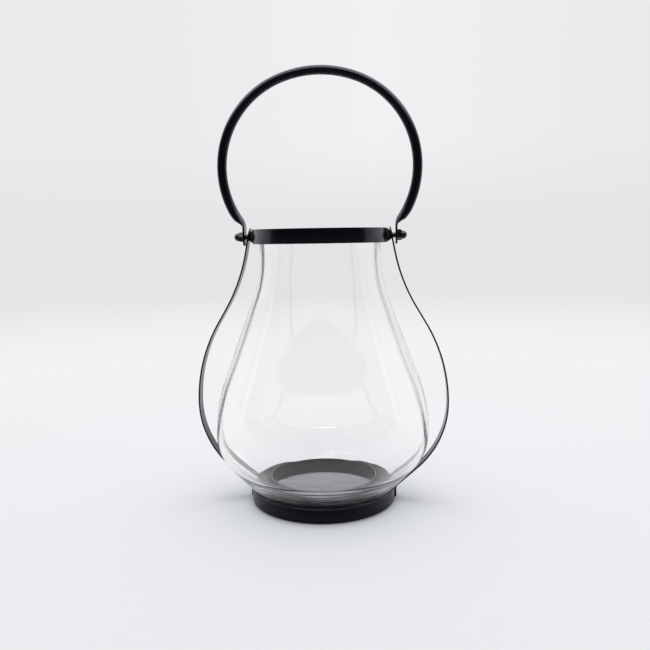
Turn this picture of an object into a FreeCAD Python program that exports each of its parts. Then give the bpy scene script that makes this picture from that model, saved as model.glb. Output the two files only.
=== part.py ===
import FreeCAD
import Part
import math
import os

# Hurricane candle lantern: a clear glass shade stands in a shallow pan, inside a neck ring
# that two bowed straps carry, and a bail handle swings on two bolts through ring and straps.
# Millimetres, +Z up, origin at the centre of the pan's underside, bolts along X.

# Glass shade, blown and open at both ends
glass_height = 205.0
glass_foot_radius = 45.1
glass_belly_radius = 81.6
glass_belly_height = 53.0
glass_neck_radius = 45.4
glass_neck_length = 16.0
glass_neck_sweep = 96.0
glass_foot_wall = 5.0
glass_belly_wall = 3.6
glass_neck_wall = 3.2
glass_foot_rounding = 0.8
glass_heel_fullness = 1.24
glass_shoulder_fullness = 1.38

# Pan, pressed from sheet
pan_height = 11.0
pan_sheet = 0.8
pan_corner = 2.0
pan_rim_clearance = 0.4
glass_seat_gap = 0.2

# Neck ring, rolled from strip
ring_height = 10.7
ring_wall = 1.2
ring_edge = 0.3
ring_clearance = 3.9
pivot_below_glass_top = 2.7

# Straps, bent from flat bar and welded to the pan
strap_width = 10.0
strap_thickness = 1.2
strap_edge = 0.3
strap_top_reach = 7.0
strap_top_lean = 11.0
strap_straight = 12.0
strap_flare_radius = 132.0
strap_upper_fullness = 1.603
strap_stand_off = 13.65
strap_belly_height = 76.5
strap_lower_fullness = 1.58
strap_elbow_radius = 4.2
strap_tab_high = 8.5
strap_tab_low = 2.0

# Pivot bolts and what they clamp
bolt_radius = 2.0
bolt_head_radius = 3.8
bolt_head_height = 2.2
bolt_head_rounding = 1.4
bolt_slot_width = 0.9
bolt_slot_length = 4.4
bolt_slot_depth = 1.0
hole_clearance = 0.15
spacer_length = 2.6
spacer_ring_radius = 5.2
spacer_strap_radius = 3.2
nut_right_turn = 30.0
nut_left_turn = 0.0
nut_across_flats = 7.0
nut_hex_height = 3.2
nut_chamfer = 0.5
nut_dome_radius = 3.2
nut_length = 7.0
nut_thread_depth = 5.0
thread_clearance = 0.05

# Bail handle, bent from tube with flattened ends
tube_radius = 3.6
tube_wall = 0.75
bail_half_width = 72.9
bail_knee_rise = 7.8
bail_centre_offset = 3.9
bail_top_flattening = 11.0
bail_knee_radius = 13.0
bail_strap_gap = 2.15
bail_flat_reach = 6.7
bail_flat_neck = 1.5
bail_press_angle = 6.0
bail_knee_roundness = 0.82
bail_mid_knee_roundness = 0.5
pivot_clearance = 0.06
side_clearance = 0.05

V = FreeCAD.Vector
ORIGIN = V(0, 0, 0)
UP = V(0, 0, 1)
OUT = V(1, 0, 0)
ACROSS = V(0, 1, 0)


def at(x, z):
    return V(x, 0, z)


def turn(radius, angle):
    return at(radius * math.cos(angle), radius * math.sin(angle))


# A start point, then points joined by lines, or (through, end) pairs joined by arcs
def chain(start, *moves):
    edges = []
    here = start
    for move in moves:
        if isinstance(move, tuple):
            through, there = move
            edges.append(Part.Arc(here, through, there).toShape())
        else:
            there = move
            edges.append(Part.LineSegment(here, there).toShape())
        here = there
    return edges


def joined(edges):
    return Part.Wire(Part.__sortEdges__(edges))


def revolved(edges):
    return Part.Face(joined(edges)).revolve(ORIGIN, UP, 360)


# Lean from vertical of an S-curve's straight run: fullness 1 is all straight, 2 is all curve
def s_lean(wide, narrow, fullness):
    return fullness * math.atan2(wide.x - narrow.x, abs(narrow.z - wide.z))


# Arc, straight run and arc from an upright tangent at the belly to a leaning one at an end
def s_curve(wide, narrow, fullness, narrow_radius=0.0, narrow_lean=0.0):
    lean = s_lean(wide, narrow, fullness)
    rise = abs(narrow.z - wide.z) - narrow_radius * (math.sin(lean) - math.sin(narrow_lean))
    spread = wide.x - narrow.x - narrow_radius * (math.cos(narrow_lean) - math.cos(lean))
    wide_radius = (rise * math.sin(lean) - spread * math.cos(lean)) / (1 - math.cos(lean))
    way = 1 if narrow.z > wide.z else -1
    wide_centre = wide - at(wide_radius, 0)
    wide_half = wide_centre + turn(wide_radius, way * lean / 2)
    wide_end = wide_centre + turn(wide_radius, way * lean)
    if narrow_radius == 0.0:
        return chain(wide, (wide_half, wide_end), narrow)
    narrow_centre = narrow + turn(narrow_radius, way * narrow_lean)
    narrow_half = narrow_centre - turn(narrow_radius, way * (narrow_lean + lean) / 2)
    narrow_end = narrow_centre - turn(narrow_radius, way * lean)
    return chain(wide, (wide_half, wide_end), narrow_end, (narrow_half, narrow))


# Heights and radii that the pieces share
glass_rest_z = pan_sheet + glass_seat_gap
glass_top_z = glass_rest_z + glass_height
glass_foot = at(glass_foot_radius, glass_rest_z)
glass_belly = at(glass_belly_radius, glass_rest_z + glass_belly_height)
heel_lean = s_lean(glass_belly, glass_foot, glass_heel_fullness)
glass_at_rim = glass_foot.x + (pan_height - glass_foot.z) * math.tan(heel_lean)
pan_radius = glass_at_rim + pan_rim_clearance + pan_sheet
ring_inner = glass_neck_radius + ring_clearance
ring_outer = ring_inner + ring_wall
pivot_z = glass_top_z - pivot_below_glass_top
strap_lean = math.radians(strap_top_lean)
strap_inner = at(ring_outer + spacer_length, pivot_z)
strap_middle = strap_inner + at(strap_thickness / 2 / math.cos(strap_lean), 0)
strap_outer = strap_inner + at(strap_thickness / math.cos(strap_lean), 0)
bail_flat_thickness = 2 * tube_wall
flat_inner = strap_outer.x + bail_strap_gap
flat_outer = flat_inner + bail_flat_thickness
nut_seat = flat_outer + side_clearance
hole_radius = bolt_radius + hole_clearance


# A rod or hole along the bolt axis on the +X side
def on_pivot(radius, start, end):
    return Part.makeCylinder(radius, end - start, at(start, pivot_z), OUT)


# Cutter that rounds the end of a bar whose flat faces look along X
def end_rounder(width, end_z, way):
    radius = width / 2
    reach = flat_outer + tube_radius
    centre = at(0, end_z - way * radius)
    block = Part.makeBox(reach, 2 * width, width, centre + V(0, -width, min(0, way * width)))
    return block.cut(Part.makeCylinder(radius, reach, centre, OUT))


def make_glass_shade():
    belly_in = glass_belly - at(glass_belly_wall, 0)
    across_heel = at(-math.cos(heel_lean), math.sin(heel_lean))
    foot_in = glass_foot + across_heel * glass_foot_wall
    foot_bore = at(foot_in.x, glass_rest_z)
    neck = at(glass_neck_radius, glass_top_z - glass_neck_length)
    neck_in = neck - at(glass_neck_wall, 0)
    lip_z = glass_top_z - glass_neck_wall / 2
    lip = at(glass_neck_radius, lip_z)
    lip_in = lip - at(glass_neck_wall, 0)
    lip_top = at(glass_neck_radius - glass_neck_wall / 2, glass_top_z)
    edges = s_curve(glass_belly, glass_foot, glass_heel_fullness)
    edges += s_curve(glass_belly, neck, glass_shoulder_fullness, glass_neck_sweep)
    edges += chain(neck, lip, (lip_top, lip_in), neck_in)
    edges += s_curve(belly_in, neck_in, glass_shoulder_fullness, glass_neck_sweep)
    edges += s_curve(belly_in, foot_in, glass_heel_fullness)
    edges += chain(foot_in, foot_bore, glass_foot)
    shade = revolved(edges)
    foot_edges = [e for e in shade.Edges if e.Closed and e.BoundBox.ZMax < foot_in.z + glass_seat_gap]
    return shade.makeFillet(glass_foot_rounding, foot_edges)


def make_base_pan():
    inner = pan_radius - pan_sheet
    corner_in = pan_corner - pan_sheet
    lip_z = pan_height - pan_sheet / 2
    corner_centre = at(pan_radius - pan_corner, pan_corner)
    slant = math.radians(-45)
    return revolved(chain(
        ORIGIN,
        at(corner_centre.x, 0),
        (corner_centre + turn(pan_corner, slant), at(pan_radius, pan_corner)),
        at(pan_radius, lip_z),
        (at(pan_radius - pan_sheet / 2, pan_height), at(inner, lip_z)),
        at(inner, pan_corner),
        (corner_centre + turn(corner_in, slant), at(corner_centre.x, pan_sheet)),
        at(0, pan_sheet),
        ORIGIN))


def make_neck_ring():
    low = at(0, pivot_z - ring_height / 2)
    ring = Part.makeCylinder(ring_outer, ring_height, low)
    ring = ring.cut(Part.makeCylinder(ring_inner, ring_height, low))
    ring = ring.makeFillet(ring_edge, [e for e in ring.Edges if e.Closed])
    return ring.cut(on_pivot(hole_radius, -2 * ring_outer, 2 * ring_outer))


# Flat bar section with rounded edges, square to a run that leans in by the strap's top lean
def bar_section(centre):
    corner = centre - V(strap_thickness / 2, strap_width / 2, 0)
    bar = Part.makePlane(strap_thickness, strap_width, corner).extrude(UP)
    bar = bar.makeFillet(strap_edge, [e for e in bar.Edges if abs(e.BoundBox.ZLength - 1) < strap_edge])
    section = min(bar.Faces, key=lambda face: face.CenterOfMass.z).OuterWire
    section.rotate(centre, ACROSS, -strap_top_lean)
    return section


def make_strap():
    down = at(math.sin(strap_lean), -math.cos(strap_lean))
    top = strap_middle - down * (strap_top_reach / math.cos(strap_lean))
    shoulder = strap_middle + down * strap_straight
    belly = at(glass_belly_radius + strap_stand_off + strap_thickness / 2, strap_belly_height)
    seat = math.sqrt(pan_radius ** 2 - (strap_width / 2) ** 2)
    elbow = at(seat + strap_thickness / 2, strap_tab_high)
    path = chain(top, shoulder)
    path += s_curve(belly, shoulder, strap_upper_fullness, strap_flare_radius, strap_lean)
    path += s_curve(belly, elbow, strap_lower_fullness, strap_elbow_radius)
    path += chain(elbow, at(elbow.x, strap_tab_low))
    strap = joined(path).makePipeShell([bar_section(top)], True, False)
    strap = strap.cut(end_rounder(strap_width, top.z - strap_thickness * math.sin(strap_lean), 1))
    strap = strap.cut(Part.makeCylinder(pan_radius, pan_height))
    return strap.cut(on_pivot(hole_radius, ring_outer, flat_inner))


def make_spacer():
    root = ring_outer - spacer_ring_radius ** 2 / ring_outer
    taper = (spacer_ring_radius - spacer_strap_radius) / spacer_length
    past_strap = spacer_strap_radius * math.tan(strap_lean)
    root_radius = spacer_ring_radius + taper * (ring_outer - root)
    end_radius = spacer_strap_radius - taper * past_strap
    length = strap_inner.x + past_strap - root
    cone = Part.makeCone(root_radius, end_radius, length, at(root, pivot_z), OUT)
    ring_side = Part.makeCylinder(ring_outer, ring_height * 2, at(0, pivot_z - ring_height))
    strap_corner = strap_inner - V(0, strap_width, strap_width) / 2
    strap_side = Part.makeBox(length, strap_width, strap_width, strap_corner)
    strap_side.rotate(strap_inner, ACROSS, -strap_top_lean)
    return cone.cut(ring_side).cut(strap_side).cut(on_pivot(hole_radius, root - 1, flat_inner))


def make_bolt():
    head_end = ring_inner - bolt_head_height
    head = on_pivot(bolt_head_radius, head_end, ring_outer)
    rim = [e for e in head.Edges if e.Closed and e.BoundBox.XMax < ring_inner]
    head = head.makeFillet(bolt_head_rounding, rim)
    head = head.common(Part.makeCylinder(ring_inner, ring_height * 2, at(0, pivot_z - ring_height)))
    slot_end = head_end + bolt_slot_depth
    for size_y, size_z in ((bolt_slot_length, bolt_slot_width), (bolt_slot_width, bolt_slot_length)):
        corner = V(head_end - 1, -size_y / 2, pivot_z - size_z / 2)
        head = head.cut(Part.makeBox(slot_end - head_end + 1, size_y, size_z, corner))
    shank_end = nut_seat + nut_thread_depth - nut_chamfer
    return head.fuse(on_pivot(bolt_radius, slot_end + nut_chamfer / 2, shank_end)).removeSplitter()


def make_cap_nut(turned):
    corner_radius = nut_across_flats / math.sqrt(3)
    angles = [math.radians(turned + 60 * k) for k in range(7)]
    around = [V(0, math.cos(a), math.sin(a)) * corner_radius for a in angles]
    corners = [at(nut_seat, pivot_z) + spoke for spoke in around]
    hexagon = Part.Face(Part.makePolygon(corners)).extrude(OUT * nut_hex_height)
    chamfer_start = nut_seat + nut_hex_height - nut_chamfer
    envelope = on_pivot(corner_radius, nut_seat, chamfer_start)
    cone_end = nut_dome_radius + nut_chamfer / 4
    cone = Part.makeCone(corner_radius, cone_end, nut_chamfer, at(chamfer_start, pivot_z), OUT)
    dome_centre = nut_seat + nut_length - nut_dome_radius
    dome = on_pivot(nut_dome_radius, nut_seat, dome_centre)
    dome = dome.fuse(Part.makeSphere(nut_dome_radius, at(dome_centre, pivot_z), OUT))
    nut = hexagon.common(envelope.fuse(cone)).fuse(dome)
    thread_end = nut_seat + nut_thread_depth
    nut = nut.cut(on_pivot(bolt_radius + thread_clearance, nut_seat - nut_length, thread_end))
    return nut.removeSplitter()


# Outline of a tube pressed to a thickness, with its girth kept, in the plane of across and Y
def pressed_section(centre, across, thickness):
    half = thickness / 2
    straight = max(math.pi * (tube_radius - half) / 2, 0)
    end_high = centre + ACROSS * (straight + half)
    end_low = centre - ACROSS * (straight + half)
    round_split = math.radians(10)
    if straight > 0:
        side = ACROSS * straight
        lift = across * half
    else:
        side = ACROSS * (half * math.sin(round_split))
        lift = across * (half * math.cos(round_split))
    a = centre - side + lift
    b = centre + side + lift
    c = centre + side - lift
    d = centre - side - lift
    if straight > 0:
        return Part.Wire(chain(a, b, (end_high, c), d, (end_low, a)))
    top = centre + across * half
    bottom = centre - across * half
    return Part.Wire(chain(a, (top, b), (end_high, c), (bottom, d), (end_low, a)))


# Round tube swept about a Y axis between two angles in the XZ plane
def bent_tube(centre, radius, start, end):
    section_at = centre + turn(radius, start)
    along = V(-math.sin(start), 0, math.cos(start))
    ring = Part.Face([Part.Wire(Part.makeCircle(tube_radius, section_at, along)),
                      Part.Wire(Part.makeCircle(tube_radius - tube_wall, section_at, along))])
    ring.validate()
    return ring.revolve(centre, -ACROSS, math.degrees(end - start))


def make_bail_handle():
    side_radius = bail_half_width - bail_centre_offset
    top_radius = side_radius + bail_top_flattening
    drop = math.sqrt(bail_top_flattening ** 2 - bail_centre_offset ** 2)
    meet = math.atan2(drop, bail_centre_offset)
    knee_centre = at(flat_inner + bail_knee_radius, pivot_z + bail_knee_rise)
    knee_reach = side_radius - tube_radius + bail_knee_radius
    knee = math.acos((knee_centre.x - bail_centre_offset) / knee_reach)
    side_centre = at(bail_centre_offset, knee_centre.z + knee_reach * math.sin(knee))
    top_centre = side_centre - at(bail_centre_offset, drop)
    round_from = math.radians(bail_press_angle) - knee
    round_size = 2 * tube_radius
    round_end = side_centre + turn(side_radius, round_from)
    sections = [pressed_section(round_end, turn(1, round_from), round_size)]
    for angle, roundness in ((knee, bail_knee_roundness), (knee / 2, bail_mid_knee_roundness), (0, 0)):
        thickness = bail_flat_thickness + roundness * (round_size - bail_flat_thickness)
        across = turn(1, -angle)
        centre = knee_centre - turn(bail_knee_radius, -angle) + across * (thickness / 2)
        sections.append(pressed_section(centre, across, thickness))
    flat_top = centre - UP * bail_flat_neck
    flat_section = pressed_section(flat_top, OUT, bail_flat_thickness)
    sections.append(flat_section)
    end_z = pivot_z - bail_flat_reach
    flat = Part.Face(flat_section).extrude(UP * (end_z - flat_top.z))
    flat_width = flat.BoundBox.YLength
    flat = flat.cut(end_rounder(flat_width, end_z, -1))
    flat = flat.cut(on_pivot(bolt_radius + pivot_clearance, flat_inner - 1, flat_outer + 1))
    side = bent_tube(side_centre, side_radius, round_from, meet)
    side = side.fuse(Part.makeLoft(sections, True, False)).fuse(flat)
    top = bent_tube(top_centre, top_radius, meet, math.pi - meet)
    return top.fuse(side).fuse(opposite(side)).removeSplitter()


# The same piece on the -X side
def opposite(shape):
    other = shape.copy()
    other.rotate(ORIGIN, UP, 180)
    return other


pieces = {
    "base_pan": make_base_pan(),
    "glass_shade": make_glass_shade(),
    "neck_ring": make_neck_ring(),
    "bail_handle": make_bail_handle(),
    "strap_right": make_strap(),
    "taper_spacer_right": make_spacer(),
    "pivot_bolt_right": make_bolt(),
    "cap_nut_right": make_cap_nut(nut_right_turn),
    "cap_nut_left": opposite(make_cap_nut(nut_left_turn)),
}
for name in ("strap", "taper_spacer", "pivot_bolt"):
    pieces[name + "_left"] = opposite(pieces[name + "_right"])

os.makedirs("parts", exist_ok=True)
for name, shape in pieces.items():
    shape.exportStep("parts/" + name + ".step")
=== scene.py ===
import bmesh
import bpy
from math import asin, cos, pi, radians, sin, sqrt, tan
from mathutils import Matrix, Vector


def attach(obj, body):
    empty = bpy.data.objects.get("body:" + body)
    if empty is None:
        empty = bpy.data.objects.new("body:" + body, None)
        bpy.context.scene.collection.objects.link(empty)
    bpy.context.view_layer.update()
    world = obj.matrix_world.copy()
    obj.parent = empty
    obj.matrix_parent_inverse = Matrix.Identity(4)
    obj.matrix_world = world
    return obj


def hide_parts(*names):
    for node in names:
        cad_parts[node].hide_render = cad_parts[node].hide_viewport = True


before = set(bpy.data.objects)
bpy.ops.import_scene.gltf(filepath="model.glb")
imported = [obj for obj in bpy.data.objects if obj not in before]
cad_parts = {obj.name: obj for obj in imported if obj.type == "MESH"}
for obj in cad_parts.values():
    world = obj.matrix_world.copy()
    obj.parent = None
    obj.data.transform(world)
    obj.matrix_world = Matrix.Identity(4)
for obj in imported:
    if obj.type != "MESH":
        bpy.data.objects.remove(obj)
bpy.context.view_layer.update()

# Base pan
# A shallow round tray pressed from 0.8 mm mild steel sheet, with a soft bottom corner and a
# smooth rim. It is powder coated black together with the straps that are welded to its wall.
mm = 0.001
pan_radius = 55.58 * mm
pan_height = 11 * mm
pan_sheet = 0.8 * mm
pan_corner = 2 * mm
corner_strip = 1 * mm
outline_gap = 0.02 * mm
mesh_gap = 0.002 * mm
sharp_angle = radians(40)


# Carries a point, an edge or a loop of them along runs and bends drawn in the XZ plane.
# A run is a length, a bend is a radius, an angle in degrees (left is positive) and its steps.
def carried(bm, tip, place, heading, moves):
    for move in moves:
        ahead = Vector((cos(heading), 0, sin(heading)))
        left = Vector((-sin(heading), 0, cos(heading)))
        if isinstance(move, tuple):
            radius, degrees, steps = move
            angle = radians(degrees)
            centre = place + left * (radius if angle > 0 else -radius)
            grown = bmesh.ops.spin(bm, geom=tip, cent=centre, axis=(0, -1, 0), angle=angle, steps=steps)
            place = centre + Matrix.Rotation(angle, 3, (0, -1, 0)) @ (place - centre)
            heading += angle
        else:
            grown = bmesh.ops.spin(bm, geom=tip, cent=place, axis=(0, -1, 0), angle=0, dvec=ahead * move,
                                   steps=1)
            place = place + ahead * move
        tip = [g for g in grown["geom_last"] if not isinstance(g, bmesh.types.BMFace)]
    return tip, place, heading


# Turns a drawn outline once round the lantern's middle
def lathed(start, heading, moves, steps):
    bm = bmesh.new()
    place = Vector(start)
    carried(bm, [bm.verts.new(place)], place, heading, moves)
    bmesh.ops.remove_doubles(bm, verts=bm.verts, dist=outline_gap)
    bmesh.ops.spin(bm, geom=bm.verts[:] + bm.edges[:], cent=(0, 0, 0), axis=(0, 0, 1), angle=2 * pi,
                   steps=steps, use_merge=True)
    return bm


# Closes the mesh, faces it outwards and makes it an object that rides on a body
def finished(bm, name, material, body):
    bmesh.ops.remove_doubles(bm, verts=bm.verts, dist=mesh_gap)
    bmesh.ops.recalc_face_normals(bm, faces=bm.faces)
    mesh = bpy.data.meshes.new(name)
    bm.to_mesh(mesh)
    bm.free()
    mesh.shade_smooth()
    mesh.set_sharp_from_angle(angle=sharp_angle)
    mesh.materials.append(material)
    piece = bpy.data.objects.new(name, mesh)
    bpy.context.scene.collection.objects.link(piece)
    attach(piece, body)
    return piece


# Turns an sRGB hex colour to linear
def linear(code):
    channels = [int(code[k:k + 2], 16) / 255 for k in (1, 3, 5)]
    return [c / 12.92 if c <= 0.04045 else ((c + 0.055) / 1.055) ** 2.4 for c in channels] + [1]


# Adds a node; inputs are given by name or place, as a value or as the socket that feeds them
def add(tree, kind, inputs, **settings):
    node = tree.nodes.new("ShaderNode" + kind)
    for name, value in settings.items():
        setattr(node, name, value)
    for place, value in inputs.items():
        if isinstance(value, bpy.types.NodeSocket):
            tree.links.new(value, node.inputs[place])
        else:
            node.inputs[place].default_value = value
    return node


def new_material(name):
    material = bpy.data.materials.new(name)
    material.use_nodes = True
    material.node_tree.nodes.clear()
    return material, material.node_tree


# Satin black powder coat: polyester powder fused on bare steel. The eye gets a deep neutral
# black, a soft wide sheen, a fine orange peel about 1 mm across and slightly patchy gloss.
powder_coat, tree = new_material("satin black powder coat on mild steel")
patch_size = 14 * mm
peel_size = 1.1 * mm
here = add(tree, "TexCoord", {}).outputs["Object"]
patches = add(tree, "TexNoise", {"Vector": here, "Scale": 1 / patch_size, "Detail": 3}).outputs["Fac"]
black = add(tree, "Mix", {"Factor": patches, "A": linear("#05060a"), "B": linear("#090a0f")},
            data_type="RGBA")
gloss = add(tree, "MapRange", {"Value": patches, "To Min": 0.18, "To Max": 0.24}).outputs["Result"]
peel = add(tree, "TexNoise", {"Vector": here, "Scale": 1 / peel_size, "Detail": 1}).outputs["Fac"]
bumps = add(tree, "Bump", {"Height": peel, "Strength": 0.02, "Distance": 0.003 * mm}).outputs["Normal"]
coat = add(tree, "BsdfPrincipled", {"Base Color": black.outputs["Result"], "Roughness": gloss,
                                    "Normal": bumps, "Specular IOR Level": 0.5,
                                    "Specular Tint": linear("#e6eaf8")})
add(tree, "OutputMaterial", {"Surface": coat.outputs["BSDF"]})

pan_flat = pan_radius - pan_corner - corner_strip
pan_wall = pan_height - pan_corner - pan_sheet / 2
bm = lathed((0, 0, 0), 0, (
    pan_flat, corner_strip, (pan_corner, 90, 8),
    pan_wall, (pan_sheet / 2, 180, 8), pan_wall,
    (pan_corner - pan_sheet, -90, 8), corner_strip, pan_flat), 160)
pan = finished(bm, "pressed_pan", powder_coat, "frame")
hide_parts("base_pan")

# Candle dish
# A shallow round dish pressed from 1.2 mm sheet and enamelled black, with its edge turned smooth.
# It stands on the pan's floor on a short rolled foot, inside the open foot of the glass.
dish_radius = 41.9 * mm
dish_sheet = 1.2 * mm
dish_floor = 9 * mm
dish_rim = 16.8 * mm
dish_corner = 1.8 * mm
dish_foot = 33 * mm
foot_bend = 0.1 * mm

# Gloss black enamel: a smooth stoved coat that mirrors the pale room softly in the dish's floor
enamel, tree = new_material("gloss black stoved enamel")
wear_size = 9 * mm
here = add(tree, "TexCoord", {}).outputs["Object"]
wear = add(tree, "TexNoise", {"Vector": here, "Scale": 1 / wear_size, "Detail": 3}).outputs["Fac"]
gloss = add(tree, "MapRange", {"Value": wear, "To Min": 0.07, "To Max": 0.12}).outputs["Result"]
coat = add(tree, "BsdfPrincipled", {"Base Color": linear("#07080c"), "Roughness": gloss,
                                    "Specular Tint": linear("#e6eaf8")})
add(tree, "OutputMaterial", {"Surface": coat.outputs["BSDF"]})

foot_wall = dish_sheet - 2 * foot_bend
foot_drop = dish_floor - dish_sheet - pan_sheet - 2 * foot_bend
dish_flat = dish_radius - dish_corner
dish_wall = dish_rim - dish_floor + dish_sheet / 2 - dish_corner
bm = lathed((0, 0, dish_floor - dish_sheet), 0, (
    dish_foot - foot_bend, (foot_bend, -90, 2), foot_drop, (foot_bend, 90, 2), foot_wall,
    (foot_bend, 90, 2), foot_drop, (foot_bend, -90, 2), dish_flat - dish_foot - dish_sheet - foot_bend,
    (dish_corner, 90, 8), dish_wall, (dish_sheet / 2, 180, 8), dish_wall,
    (dish_corner - dish_sheet, -90, 8), dish_flat), 160)
finished(bm, "candle_dish", enamel, "frame")

# Straps
# Two bars of 10 x 1.2 mm mild steel strip with rolled edges, bent over a former into the bow that
# clears the glass. The rounded top is bored for the bolt and the foot is welded to the pan's wall.
bolt_height = 203.3 * mm
strap_width = 10 * mm
strap_thickness = 1.2 * mm
strap_edge = 0.3 * mm
strap_lean = radians(11)
strap_at_bolt = Vector((53.711 * mm, 0, bolt_height))
above_bolt = 1.77 * mm
below_bolt = 12 * mm
flare = (132 * mm, 19.63, 12)
flare_run = 14.16 * mm
upper_bow = (119.27 * mm, -30.63, 20)
lower_bow = (67.89 * mm, -48.03, 28)
tuck_run = 21.54 * mm
foot_turn = (4.2 * mm, 48.03, 10)
weld_tab = 6.5 * mm
strap_down = Vector((sin(strap_lean), 0, -cos(strap_lean)))
strap_out = Vector((cos(strap_lean), 0, sin(strap_lean)))

# The rounded top is half a disc, and its straight side is then carried down the strap's line
bm = bmesh.new()
bmesh.ops.create_circle(bm, cap_ends=True, segments=64, radius=strap_width / 2)
bmesh.ops.bisect_plane(bm, geom=bm.verts[:] + bm.edges[:] + bm.faces[:], dist=0.01 * mm,
                       plane_co=(0, 0, 0), plane_no=(0, 1, 0), clear_inner=True)
cut = [e for e in bm.edges if abs(e.verts[0].co.y) + abs(e.verts[1].co.y) < 0.02 * mm]
top_middle = strap_at_bolt - strap_down * above_bolt
turned = Matrix((Vector((0, 1, 0)), -strap_down, strap_out)).transposed()
bmesh.ops.transform(bm, matrix=Matrix.Translation(top_middle) @ turned.to_4x4(), verts=bm.verts)
carried(bm, cut + list({v for e in cut for v in e.verts}), top_middle, strap_lean - pi / 2, (
    above_bolt + below_bolt, flare, flare_run, upper_bow, lower_bow, tuck_run, foot_turn, weld_tab))
left_bm = bm.copy()
bmesh.ops.rotate(left_bm, cent=(0, 0, 0), matrix=Matrix.Rotation(pi, 3, "Z"), verts=left_bm.verts)
for side, strip in (("right", bm), ("left", left_bm)):
    strap = finished(strip, "bowed_strap_" + side, powder_coat, "frame")
    wall = strap.modifiers.new("strip thickness", "SOLIDIFY")
    wall.thickness = strap_thickness
    wall.offset = 0
    edges = strap.modifiers.new("rolled edges", "BEVEL")
    edges.width = strap_edge
    edges.segments = 3
    edges.limit_method = "ANGLE"
    edges.angle_limit = radians(50)
    edges.harden_normals = True
    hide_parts("strap_" + side)

# Glass shade
# A pear-shaped chimney of clear soda-lime glass, blown in a mould, ground flat at the foot and
# fire-polished at the neck. It stands loose in the pan, and faint rings run round its heel.
foot_bore = 41.434 * mm
foot_height = 1 * mm
foot_flat = 3.666 * mm
foot_rise = 3.4 * mm
foot_rounding = 0.8 * mm
heel = 42.847
heel_in = 45.134
heel_run = 40.024 * mm
heel_run_in = 38.387 * mm
plain_heel = 13 * mm
shoulder = 20.569
shoulder_in = 20.352
belly = (34.786 * mm, heel, 16)
belly_in = (31.773 * mm, -heel_in, 16)
flank = (121.874 * mm, shoulder, 14)
flank_in = (123.998 * mm, -shoulder_in, 14)
slope_run = 63.501 * mm
slope_run_in = 63.449 * mm
neck_bend = 96 * mm
neck_run = 14.4 * mm
lip = (1.6 * mm, 180, 10)
ripple = 2.5
ripple_radius = 24 * mm
ripple_count = 6

# Clear glass: full transmission, smooth, and a trace greener towards the thick foot. The rings of
# the mould lie 1.6 mm apart round the heel. Shadows and soft light pass as through a clear pane.
clear_glass, tree = new_material("clear blown soda-lime glass")
ring_spacing = 1.6 * mm
here = add(tree, "TexCoord", {}).outputs["Object"]
height = add(tree, "SeparateXYZ", {0: here}).outputs["Z"]
depth = add(tree, "MapRange", {"Value": height, "From Min": 40 * mm, "From Max": 2 * mm}).outputs["Result"]
tint = add(tree, "Mix", {"Factor": depth, "A": linear("#fdfdfd"), "B": linear("#f7f9f9")}, data_type="RGBA")
rings = add(tree, "VectorMath", {0: here, 1: (0.05, 0.05, 1)}, operation="MULTIPLY").outputs["Vector"]
rings = add(tree, "TexNoise", {"Vector": rings, "Scale": 1 / ring_spacing, "Detail": 2}).outputs["Fac"]
low = add(tree, "MapRange", {"Value": height, "From Min": 26 * mm, "From Max": 16 * mm}).outputs["Result"]
wavy = add(tree, "Bump", {"Height": rings, "Strength": low, "Distance": 0.5 * mm}).outputs["Normal"]
glass = add(tree, "BsdfPrincipled", {"Base Color": tint.outputs["Result"], "Roughness": 0, "IOR": 1.5,
                                     "Normal": wavy, "Transmission Weight": 1})
paths = add(tree, "LightPath", {}).outputs
lit = add(tree, "Math", {0: paths["Is Shadow Ray"], 1: paths["Is Diffuse Ray"]},
          operation="MAXIMUM").outputs[0]
clear = add(tree, "BsdfTransparent", {"Color": linear("#f4f6f6")})
both = add(tree, "MixShader", {0: lit, 1: glass.outputs["BSDF"], 2: clear.outputs["BSDF"]})
add(tree, "OutputMaterial", {"Surface": both.outputs["Shader"]})

# The outline runs from the foot up the outside, over the lip and down the inside
outer_corner = foot_rounding * tan(radians(90 - heel) / 2)
inner_corner = foot_rounding * tan(radians(heel_in) / 2)
one_ripple = ((ripple_radius, ripple, 2), (ripple_radius, -2 * ripple, 4), (ripple_radius, ripple, 2))
rippled = 4 * ripple_count * ripple_radius * sin(radians(ripple))
foot = (foot_flat - foot_rounding - outer_corner, (foot_rounding, 90 - heel, 4), plain_heel - outer_corner)
outside = (heel_run - plain_heel - rippled, belly, flank, slope_run, (neck_bend, -shoulder, 14), neck_run)
inside = (neck_run, (neck_bend, shoulder_in, 14), slope_run_in, flank_in, belly_in,
          heel_run_in - inner_corner, (foot_rounding, heel_in, 4),
          foot_rise - inner_corner - foot_rounding, (foot_rounding, 90, 4))
bm = lathed((foot_bore + foot_rounding, 0, foot_height), 0,
            foot + one_ripple * ripple_count + outside + (lip,) + inside, 560)
shade = finished(bm, "blown_shade", clear_glass, "frame")
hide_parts("glass_shade")

# Neck ring
# A hoop rolled from 10.7 x 1.2 mm strip and butt-welded, coated like the straps. It hangs between
# the two bolts and keeps the neck of the glass upright.
ring_inner = 49.3 * mm
ring_thickness = 1.2 * mm
ring_height = 10.7 * mm
ring_edge = 0.3 * mm
ring_flat = ring_thickness - 2 * ring_edge
ring_side = ring_height - 2 * ring_edge
bm = lathed((ring_inner + ring_edge, 0, bolt_height - ring_side / 2 - ring_edge), 0,
            (ring_flat, (ring_edge, 90, 4), ring_side, (ring_edge, 90, 4)) * 2, 192)
ring = finished(bm, "rolled_neck_ring", powder_coat, "frame")
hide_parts("neck_ring")

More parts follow.
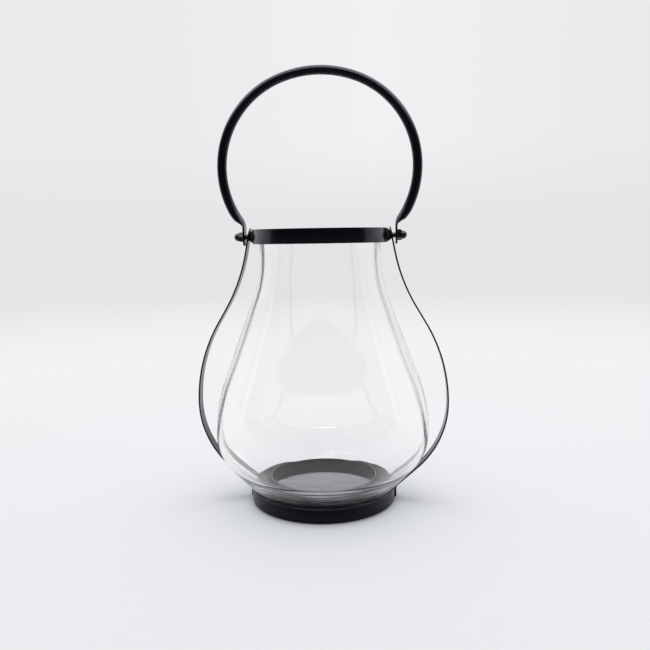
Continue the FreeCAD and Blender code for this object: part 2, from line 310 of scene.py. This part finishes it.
# Taper spacers
# Short moulded cones that hold the straps off the ring, wide end against the ring. They are cut
# aslant where the leaning strap bears on them.
spacer_root = 50.25 * mm
spacer_base = 5.39 * mm
spacer_length = 3.5 * mm
spacer_taper = 2 / 2.6
spacer_tip = spacer_base - spacer_length * spacer_taper
strap_face = (53.1 * mm, 0, bolt_height)

# Moulded black plastic: an even, slightly greyed black with a low, fine-grained gloss
moulded, tree = new_material("moulded black polypropylene")
grain_size = 0.4 * mm
here = add(tree, "TexCoord", {}).outputs["Object"]
grain = add(tree, "TexNoise", {"Vector": here, "Scale": 1 / grain_size, "Detail": 2}).outputs["Fac"]
gloss = add(tree, "MapRange", {"Value": grain, "To Min": 0.48, "To Max": 0.58}).outputs["Result"]
pits = add(tree, "Bump", {"Height": grain, "Strength": 0.3, "Distance": 0.02 * mm}).outputs["Normal"]
plastic = add(tree, "BsdfPrincipled", {"Base Color": linear("#121213"), "Roughness": gloss, "Normal": pits})
add(tree, "OutputMaterial", {"Surface": plastic.outputs["BSDF"]})

for side, facing in (("right", 0), ("left", pi)):
    bm = bmesh.new()
    bmesh.ops.create_cone(bm, cap_ends=True, segments=64, depth=spacer_length, radius1=spacer_base,
                          radius2=spacer_tip)
    bmesh.ops.rotate(bm, cent=(0, 0, 0), matrix=Matrix.Rotation(pi / 2, 3, "Y"), verts=bm.verts)
    bmesh.ops.translate(bm, vec=(spacer_root + spacer_length / 2, 0, bolt_height), verts=bm.verts)
    sliced = bmesh.ops.bisect_plane(bm, geom=bm.verts[:] + bm.edges[:] + bm.faces[:], clear_outer=True,
                                    plane_co=strap_face, plane_no=strap_out)
    bmesh.ops.holes_fill(bm, edges=[g for g in sliced["geom_cut"] if isinstance(g, bmesh.types.BMEdge)])
    bmesh.ops.rotate(bm, cent=(0, 0, 0), matrix=Matrix.Rotation(facing, 3, "Z"), verts=bm.verts)
    spacer = finished(bm, "moulded_spacer_" + side, moulded, "frame")
    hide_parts("taper_spacer_" + side)

# Pivot bolts and cap nuts
# M4 pan-head bolts go from inside the ring out through spacer, strap and handle, and a domed cap
# nut on each keeps the handle on. Cold-headed steel, plated black.

# Gloss black plating over steel: a tight bright highlight, slightly smudged by handling
plated, tree = new_material("black nickel plated steel")
smudge_size = 2.5 * mm
dent_size = 1.2 * mm
here = add(tree, "TexCoord", {}).outputs["Object"]
smudge = add(tree, "TexNoise", {"Vector": here, "Scale": 1 / smudge_size, "Detail": 3}).outputs["Fac"]
gloss = add(tree, "MapRange", {"Value": smudge, "To Min": 0.08, "To Max": 0.14}).outputs["Result"]
dents = add(tree, "TexNoise", {"Vector": here, "Scale": 1 / dent_size, "Detail": 1}).outputs["Fac"]
dents = add(tree, "Bump", {"Height": dents, "Strength": 0.1, "Distance": 0.005 * mm}).outputs["Normal"]
plating = add(tree, "BsdfPrincipled", {"Base Color": linear("#131315"), "Roughness": gloss, "Normal": dents})
add(tree, "OutputMaterial", {"Surface": plating.outputs["BSDF"]})
for node in ("pivot_bolt_right", "pivot_bolt_left", "cap_nut_right", "cap_nut_left"):
    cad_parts[node].material_slots[0].material = plated

# Bail handle
# A hoop bent from 7.2 mm steel tube with a 0.75 mm wall. Each end is squeezed flat in a press,
# rounded off and bored, and hangs on a bolt, so the handle swings over to either side.
tube_radius = 3.6 * mm
top_centre = Vector((0, 0, 243.789 * mm))
top_bend = 80 * mm
top_turn = 20.766
side_centre = Vector((3.9 * mm, 0, 254.075 * mm))
side_bend = 69 * mm
side_turn = 96.474
knee_centre = Vector((69.472 * mm, 0, 211.1 * mm))
knee_radius = 13 * mm
knee = radians(33.24)
knee_steps = 12
flat_thickness = 1.5 * mm
flat_inner = 56.472 * mm
flat_end = 196.6 * mm
end_steps = 9
press_turn = radians(6)
press_steps = 6
early_press = 0.18


# Where a share of the tube's girth lies once it is squeezed to a thickness, its girth unchanged
def squeezed(share, across, thickness):
    half = thickness / 2
    straight = pi * (tube_radius - half) / 2
    along = (share % 0.5) * 2 * pi * tube_radius
    if along < straight:
        out, wide = half, along
    elif along > straight + pi * half:
        out, wide = -half, 2 * straight + pi * half - along
    else:
        angle = (along - straight) / half
        out, wide = half * cos(angle), straight + half * sin(angle)
    if share >= 0.5:
        out, wide = -out, -wide
    return across * out + Vector((0, wide, 0))


# Half the hoop: a circle at the top is carried round to where the press begins. Each point keeps
# its share of the girth, counted from the tube's outer side.
bm = bmesh.new()
girth = bm.verts.layers.float.new("girth")
top = top_centre + Vector((0, 0, top_bend))
circle = bmesh.ops.create_circle(bm, segments=48, radius=tube_radius)["verts"]
bmesh.ops.rotate(bm, cent=(0, 0, 0), matrix=Matrix.Rotation(pi / 2, 3, "Y"), verts=circle)
for vert in circle:
    turn = asin(max(-1, min(1, vert.co.y / tube_radius)))
    vert[girth] = ((turn if vert.co.z >= 0 else pi - turn) / (2 * pi)) % 1
bmesh.ops.translate(bm, vec=top, verts=circle)
tip, place, heading = carried(bm, bm.verts[:] + bm.edges[:], top, 0, (
    (top_bend, -top_turn, 12), (side_bend, -side_turn, 48)))

# Stations down the pressed end, each with a centre and radius for the tube's inner side, an angle,
# how round the tube still is, and how much of its width is left by the rounding of the end
stations = []
for k in range(1, press_steps + 1):
    done = k / press_steps
    angle = press_turn * (1 - done) - knee
    stations.append((side_centre, side_bend - tube_radius, angle, 1 - early_press * done ** 1.5, 1))
for k in range(1, knee_steps + 1):
    left_over = 1 - k / knee_steps
    roundness = left_over * (1 + early_press - 2 * early_press * left_over)
    stations.append((knee_centre, -knee_radius, -knee * left_over, roundness, 1))
flat_width = pi * (tube_radius - flat_thickness / 2) / 2 + flat_thickness / 2
for k in range(0, end_steps):
    rise = flat_width * (1 - sin(pi / 2 * k / end_steps))
    spread = sqrt(1 - (1 - rise / flat_width) ** 2)
    stations.append((Vector((0, 0, flat_end + rise)), flat_inner, 0, 0, spread))
for centre, radius, angle, roundness, spread in stations:
    across = Vector((cos(angle), 0, sin(angle)))
    thickness = flat_thickness + roundness * (2 * tube_radius - flat_thickness)
    middle = centre + across * (radius + thickness / 2)
    tip, place, heading = carried(bm, tip, place, heading, (0.1 * mm,))
    for vert in (g for g in tip if isinstance(g, bmesh.types.BMVert)):
        vert.co = middle + squeezed(vert[girth], across, thickness)
        vert.co.y *= spread
bmesh.ops.contextual_create(bm, geom=[g for g in tip if isinstance(g, bmesh.types.BMEdge)])
bmesh.ops.mirror(bm, geom=bm.verts[:] + bm.edges[:] + bm.faces[:], matrix=Matrix(),
                 merge_dist=0.01 * mm, axis="X")
bail = finished(bm, "tube_bail", powder_coat, "handle")
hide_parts("bail_handle")

# Floor and backdrop
# A plain pale sheet under the lantern, lit from above, that fades into the pale room behind it.
# Close by it is matt paper that takes the lantern's shadow, further off a painted pool of light glows.
floor_radius = 8
floor_drop = 0.2 * mm
pale, tree = new_material("pale paper with painted glow and shade")
here = add(tree, "TexCoord", {}).outputs["Object"]
away = add(tree, "VectorMath", {0: here}, operation="LENGTH").outputs["Value"]
paths = add(tree, "LightPath", {}).outputs
through = paths["Is Transmission Ray"]

# How much of the glow shows: more with distance, and from nearer by when seen through the glass
reach = add(tree, "Math", {0: through, 1: 0.3, 2: away}, operation="MULTIPLY_ADD").outputs[0]
fade = add(tree, "MapRange", {"Value": reach, "From Min": 0.2, "From Max": 0.7},
           interpolation_type="SMOOTHSTEP").outputs["Result"]
seen = add(tree, "Math", {0: paths["Is Camera Ray"], 1: paths["Is Glossy Ray"]},
           operation="MAXIMUM").outputs[0]
seen = add(tree, "Math", {0: seen, 1: through}, operation="MAXIMUM").outputs[0]
amount = add(tree, "Math", {0: seen, 1: fade}, operation="MULTIPLY").outputs[0]

# Painted pool of light: the glow dims with distance, and is a little brighter through the glass
painted_pool_level = add(tree, "MapRange", {"Value": away, "From Min": 0.55, "From Max": 2.2,
                               "To Min": 1.07, "To Max": 0.935},
            interpolation_type="SMOOTHSTEP").outputs["Result"]
beyond = add(tree, "MapRange", {"Value": away, "From Min": 0.55, "From Max": 2.2,
                                "To Min": 1.15, "To Max": 0.98},
             interpolation_type="SMOOTHSTEP").outputs["Result"]
painted_pool_level = add(tree, "Mix", {"Factor": through, "A": painted_pool_level, "B": beyond}).outputs["Result"]
matt = add(tree, "BsdfDiffuse", {"Color": linear("#eeeef0")}).outputs["BSDF"]
glow = add(tree, "Emission", {"Color": linear("#ececee"), "Strength": painted_pool_level}).outputs["Emission"]
both = add(tree, "MixShader", {0: amount, 1: matt, 2: glow}).outputs["Shader"]

# Painted shade: gloss shows the floor in front dark, from close by for a soft gloss and further off for
# glass
front = add(tree, "SeparateXYZ", {0: here}).outputs["Y"]
near = add(tree, "MapRange", {"Value": front, "From Min": 0.02, "From Max": -0.08,
                              "To Max": 0.9}).outputs["Result"]
far = add(tree, "MapRange", {"Value": front, "From Min": -0.1, "From Max": -0.45},
          interpolation_type="SMOOTHSTEP").outputs["Result"]
front = add(tree, "Mix", {"Factor": paths["Is Singular Ray"], "A": near, "B": far}).outputs["Result"]
mirrored = add(tree, "Math", {0: paths["Is Glossy Ray"], 1: through}, operation="SUBTRACT",
               use_clamp=True).outputs[0]
mirrored = add(tree, "Math", {0: mirrored, 1: front}, operation="MULTIPLY").outputs[0]
# A faint dark glow, painted shade in place of the lit floor
painted_shade = add(tree, "Emission", {"Color": linear("#ececee"), "Strength": 0.03}).outputs["Emission"]
both = add(tree, "MixShader", {0: mirrored, 1: both, 2: painted_shade}).outputs["Shader"]
add(tree, "OutputMaterial", {"Surface": both})

bm = bmesh.new()
bmesh.ops.create_circle(bm, cap_ends=True, segments=96, radius=floor_radius)
bmesh.ops.translate(bm, vec=(0, 0, -floor_drop), verts=bm.verts)
mesh = bpy.data.meshes.new("floor")
bm.to_mesh(mesh)
bm.free()
mesh.materials.append(pale)
floor = bpy.data.objects.new("floor", mesh)
bpy.context.scene.collection.objects.link(floor)

# Light
# A pale room that is darker behind the camera, a wide soft light above, a thin one in front and a
# tall one to each side. The lantern is lit evenly by the room, whatever part of it shows in gloss.
lit_evenly = 0.86
room = bpy.data.worlds.new("pale room")
bpy.context.scene.world = room
room.use_nodes = True
tree = room.node_tree
tree.nodes.clear()
way = add(tree, "SeparateXYZ", {0: add(tree, "TexCoord", {}).outputs["Generated"]}).outputs
paths = add(tree, "LightPath", {}).outputs
singular = paths["Is Singular Ray"]

# In gloss: walls that are pale behind the lantern and dark behind the camera, less so for glass
dark = add(tree, "MapRange", {"Value": singular, "To Min": 0.02, "To Max": 0.2}).outputs["Result"]
walls = add(tree, "MapRange", {"Value": way["Y"], "From Min": -0.2, "From Max": 0.3,
                               "To Min": dark, "To Max": 1.2},
            interpolation_type="SMOOTHSTEP").outputs["Result"]
dimmed = add(tree, "MapRange", {"Value": way["Y"], "From Min": 0.75, "To Min": 1,
                                "To Max": 0.8}).outputs["Result"]
walls = add(tree, "Math", {0: walls, 1: dimmed}, operation="MULTIPLY").outputs[0]

# In soft gloss only: a lit ceiling that reaches forward over the camera
ahead = add(tree, "Math", {0: way["Z"], 1: 0.57, 2: way["Y"]}, operation="MULTIPLY_ADD").outputs[0]
ceiling = add(tree, "MapRange", {"Value": ahead, "From Min": -0.7, "From Max": -0.35},
              interpolation_type="SMOOTHSTEP").outputs["Result"]
high = add(tree, "MapRange", {"Value": way["Z"], "From Min": 0.4, "From Max": 0.7, "To Max": 3.3},
           interpolation_type="SMOOTHSTEP").outputs["Result"]
blurred = add(tree, "Math", {0: 1, 1: singular}, operation="SUBTRACT").outputs[0]
high = add(tree, "Math", {0: high, 1: blurred}, operation="MULTIPLY").outputs[0]
tent = add(tree, "Math", {0: ceiling, 1: high, 2: walls}, operation="MULTIPLY_ADD").outputs[0]

# To the camera: a pale wall, lighter upwards, with a faint pool of light in the middle
aside = add(tree, "Math", {0: way["X"]}, operation="ABSOLUTE").outputs[0]
aside = add(tree, "MapRange", {"Value": aside, "From Max": 0.3, "To Min": 0.065,
                               "To Max": 0}).outputs["Result"]
above = add(tree, "MapRange", {"Value": way["Z"], "From Max": 0.15},
            interpolation_type="SMOOTHSTEP").outputs["Result"]
wall = add(tree, "MapRange", {"Value": above, "To Min": 0.935, "To Max": 0.985}).outputs["Result"]
pool = add(tree, "Math", {0: aside, 1: above, 2: wall}, operation="MULTIPLY_ADD").outputs[0]

# Through the glass: walls that are dimmer at the sides, with a soft bright panel at the back
depth = add(tree, "Math", {0: way["Y"]}, operation="ABSOLUTE").outputs[0]
behind = add(tree, "MapRange", {"Value": depth, "From Min": 0, "From Max": 0.7,
                                "To Min": 0.65, "To Max": 0.98}).outputs["Result"]
panel = add(tree, "MapRange", {"Value": way["Z"], "From Min": 0.12, "From Max": 0.3, "To Max": 1.7},
            interpolation_type="SMOOTHSTEP").outputs["Result"]
back = add(tree, "MapRange", {"Value": way["Y"], "From Min": 0.86, "From Max": 0.94},
           interpolation_type="SMOOTHSTEP").outputs["Result"]
behind = add(tree, "Math", {0: panel, 1: back, 2: behind}, operation="MULTIPLY_ADD").outputs[0]

strength = lit_evenly
for ray, view in (("Is Glossy Ray", tent), ("Is Transmission Ray", behind), ("Is Camera Ray", pool)):
    strength = add(tree, "Mix", {"Factor": paths[ray], "A": strength, "B": view}).outputs["Result"]
sky = add(tree, "Background", {"Color": linear("#ececee"), "Strength": strength})
add(tree, "OutputWorld", {"Surface": sky.outputs["Background"]})

lit_point = Vector((0, 0, 0.12))
for name, place, size, energy in (("overhead", (0, 0.3, 1.1), (0.9, 0.9), 4.6),
                                  ("front_strip", (0, -0.3, 0.65), (0.3, 0.03), 0.15),
                                  ("left_strip", (-0.9, -0.04, 0.45), (0.05, 0.9), 0.12),
                                  ("right_strip", (0.9, -0.04, 0.45), (0.05, 0.9), 0.12)):
    lamp = bpy.data.lights.new(name, "AREA")
    lamp.shape = "RECTANGLE"
    lamp.size, lamp.size_y = size
    lamp.energy = energy
    light = bpy.data.objects.new(name, lamp)
    bpy.context.scene.collection.objects.link(light)
    light.location = place
    light.rotation_euler = (lit_point - Vector(place)).to_track_quat("-Z", "Y").to_euler()
bpy.context.scene.view_settings.view_transform = "Standard"

# Camera
# It stands a little to the right of the front, half a metre away, and looks slightly down.
eye_place = Vector((42.15 * mm, -521.06 * mm, 201.78 * mm))
eye_turn = Matrix.Rotation(radians(4.32), 4, "Z")
eye_tilt = Matrix.Rotation(radians(82.8), 4, "X")
eye_roll = Matrix.Rotation(radians(-0.9), 4, "Z")
camera = bpy.data.cameras.new("camera")
camera.sensor_width = 36
camera.lens = 38.2
eye = bpy.data.objects.new("camera", camera)
bpy.context.scene.collection.objects.link(eye)
eye.matrix_world = Matrix.Translation(eye_place) @ eye_turn @ eye_tilt @ eye_roll
bpy.context.scene.camera = eye
